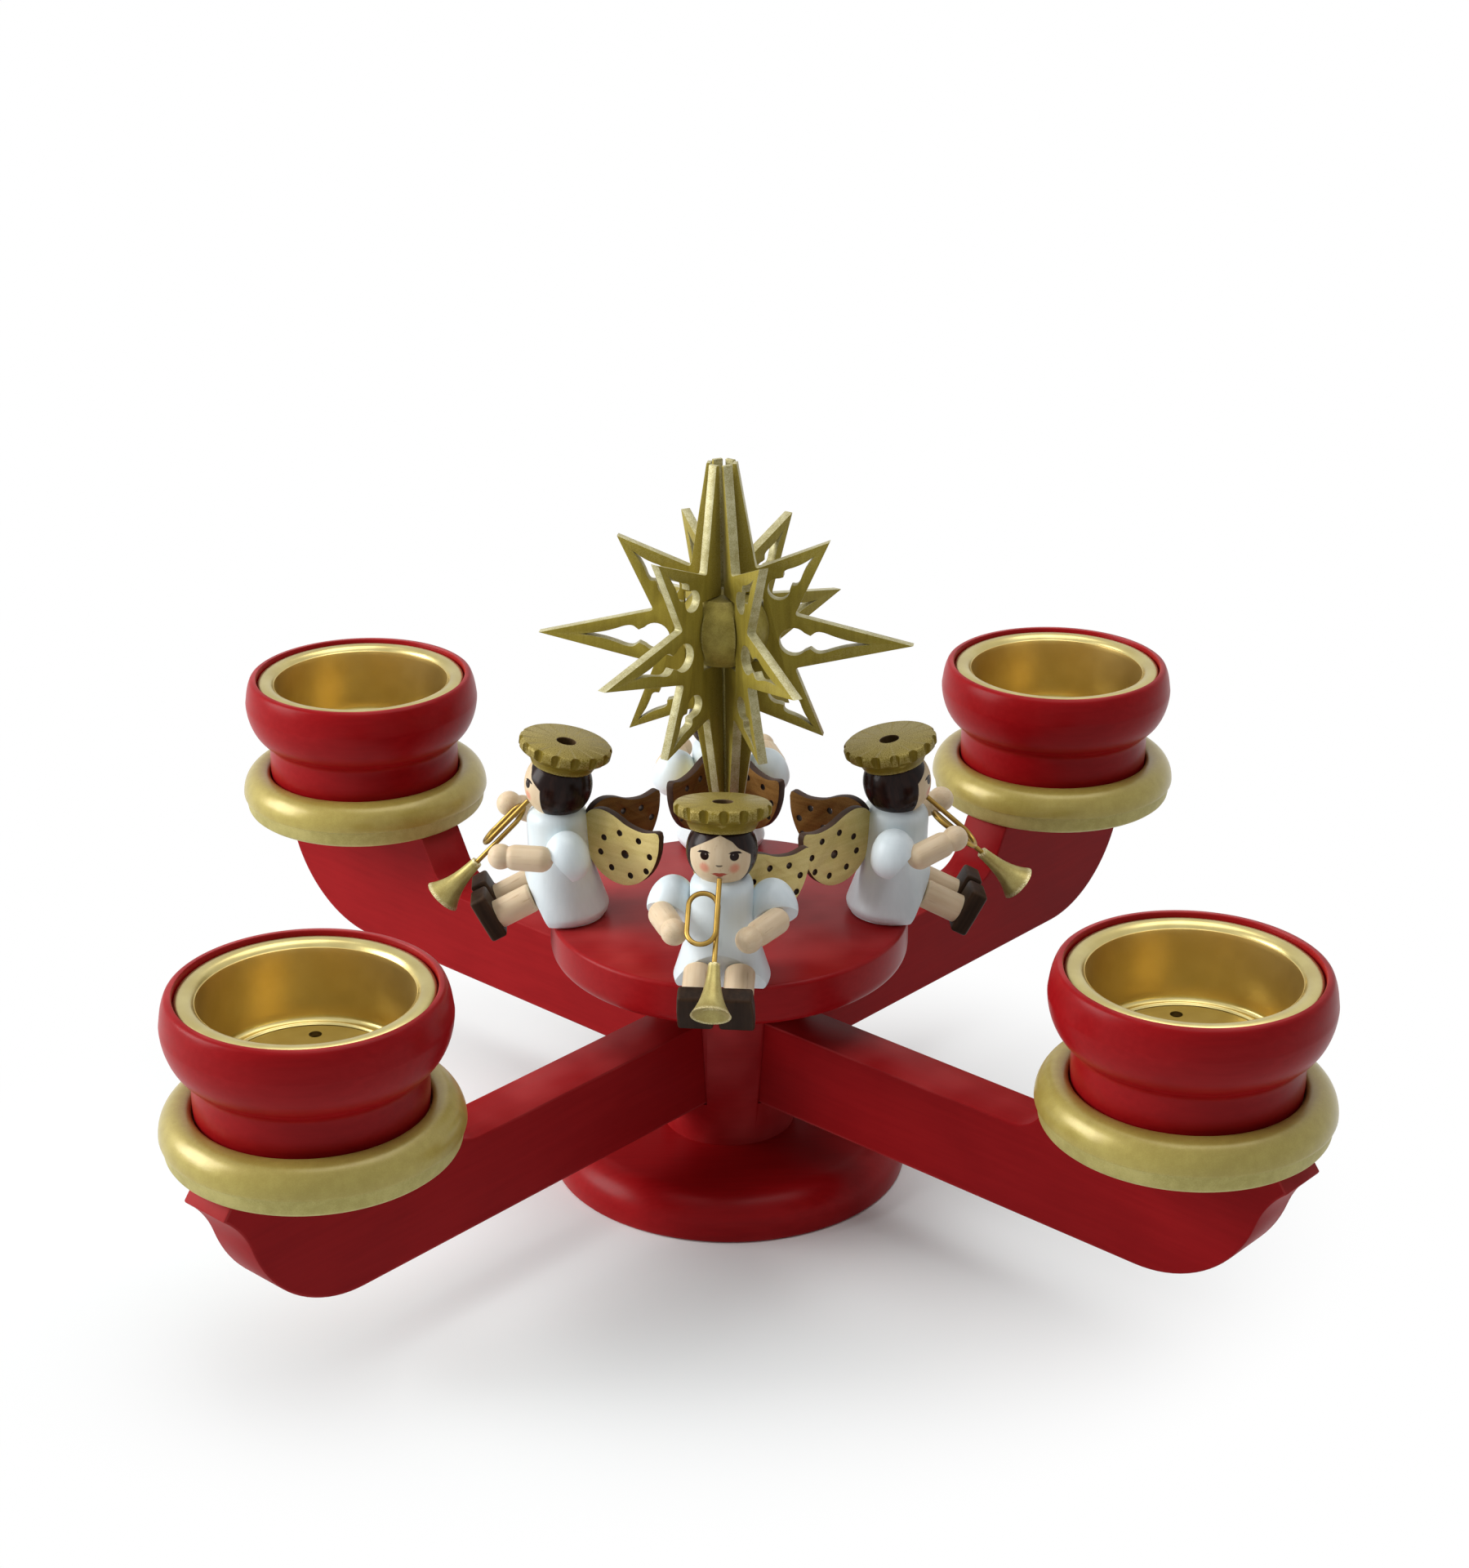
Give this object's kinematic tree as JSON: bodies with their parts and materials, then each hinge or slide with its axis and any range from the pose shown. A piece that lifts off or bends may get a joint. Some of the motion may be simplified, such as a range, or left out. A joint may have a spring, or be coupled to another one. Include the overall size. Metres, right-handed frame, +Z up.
{
  "type": "advent candle holder",
  "caption": "Turned wooden advent tealight holder with curved arms, metal-lined cups, seated trumpeting angels and a fretwork star that turns on its stem.",
  "frame": {"origin": "centre of the foot's underside, on the table", "axes": "+Z up, -Y to the front of the holder, +X to the right as seen from the front; the arms lie on the diagonals"},
  "size_m": [0.2306, 0.2296, 0.1643],
  "materials": {
    "red_paint": "satin red paint on wood",
    "dark_red_paint": "satin red paint on sawn wood, grain just showing",
    "gold_paint": "satin gold paint on wood",
    "white_paint": "satin white paint on turned wood",
    "bare_wood": "clear varnish on pale wood",
    "insert_metal": "bright brass-coloured sheet",
    "trumpet_brass": "bent brass wire and turned bell"
  },
  "bodies": {
    "holder": {"base_disc": "red_paint", "centre_post": "red_paint", "platform": "red_paint", "arm_front_left": "dark_red_paint", "arm_front_right": "dark_red_paint", "arm_back_left": "dark_red_paint", "arm_back_right": "dark_red_paint", "drip_dish_front_left": "gold_paint", "drip_dish_front_right": "gold_paint", "drip_dish_back_left": "gold_paint", "drip_dish_back_right": "gold_paint", "angel_front_dress": "white_paint", "angel_front_head": "bare_wood", "angel_front_forearm_left": "bare_wood", "angel_front_forearm_right": "bare_wood", "angel_front_leg_left": "bare_wood", "angel_front_leg_right": "bare_wood", "angel_front_wings": "gold_paint", "angel_front_trumpet": "trumpet_brass", "angel_right_dress": "white_paint", "angel_right_head": "bare_wood", "angel_right_forearm_left": "bare_wood", "angel_right_forearm_right": "bare_wood", "angel_right_leg_left": "bare_wood", "angel_right_leg_right": "bare_wood", "angel_right_wings": "gold_paint", "angel_right_trumpet": "trumpet_brass", "angel_back_dress": "white_paint", "angel_back_head": "bare_wood", "angel_back_forearm_left": "bare_wood", "angel_back_forearm_right": "bare_wood", "angel_back_leg_left": "bare_wood", "angel_back_leg_right": "bare_wood", "angel_back_wings": "gold_paint", "angel_back_trumpet": "trumpet_brass", "angel_left_dress": "white_paint", "angel_left_head": "bare_wood", "angel_left_forearm_left": "bare_wood", "angel_left_forearm_right": "bare_wood", "angel_left_leg_left": "bare_wood", "angel_left_leg_right": "bare_wood", "angel_left_wings": "gold_paint", "angel_left_trumpet": "trumpet_brass"},
    "cup_front_left": {"tealight_cup_front_left": "red_paint"},
    "cup_front_right": {"tealight_cup_front_right": "red_paint"},
    "cup_back_left": {"tealight_cup_back_left": "red_paint"},
    "cup_back_right": {"tealight_cup_back_right": "red_paint"},
    "insert_front_left": {"tealight_insert_front_left": "insert_metal"},
    "insert_front_right": {"tealight_insert_front_right": "insert_metal"},
    "insert_back_left": {"tealight_insert_back_left": "insert_metal"},
    "insert_back_right": {"tealight_insert_back_right": "insert_metal"},
    "stem": {"star_stem": "gold_paint"},
    "star": {"star_ball": "gold_paint", "star_panel_1": "gold_paint", "star_panel_2": "gold_paint", "star_panel_3": "gold_paint", "star_panel_4": "gold_paint", "star_panel_5": "gold_paint", "star_panel_6": "gold_paint"}
  },
  "joints": [
    {"name": "cup_lift_front_left", "type": "slide", "parent": "holder", "child": "cup_front_left", "axis": [0, 0, 1], "range_m": [0, 0.012]},
    {"name": "cup_lift_front_right", "type": "slide", "parent": "holder", "child": "cup_front_right", "axis": [0, 0, 1], "range_m": [0, 0.012]},
    {"name": "cup_lift_back_left", "type": "slide", "parent": "holder", "child": "cup_back_left", "axis": [0, 0, 1], "range_m": [0, 0.012]},
    {"name": "cup_lift_back_right", "type": "slide", "parent": "holder", "child": "cup_back_right", "axis": [0, 0, 1], "range_m": [0, 0.012]},
    {"name": "insert_lift_front_left", "type": "slide", "parent": "cup_front_left", "child": "insert_front_left", "axis": [0, 0, 1], "range_m": [0, 0.012]},
    {"name": "insert_lift_front_right", "type": "slide", "parent": "cup_front_right", "child": "insert_front_right", "axis": [0, 0, 1], "range_m": [0, 0.012]},
    {"name": "insert_lift_back_left", "type": "slide", "parent": "cup_back_left", "child": "insert_back_left", "axis": [0, 0, 1], "range_m": [0, 0.012]},
    {"name": "insert_lift_back_right", "type": "slide", "parent": "cup_back_right", "child": "insert_back_right", "axis": [0, 0, 1], "range_m": [0, 0.012]},
    {"name": "star_lift", "type": "slide", "parent": "holder", "child": "stem", "axis": [-0.0157, 0, 0.9999], "range_m": [0, 0.01]},
    {"name": "star_turn", "type": "hinge", "parent": "stem", "child": "star", "pos_m": [-0.00108, 0, 0.1254], "axis": [-0.0157, 0, 0.9999], "continuous": true}
  ]
}
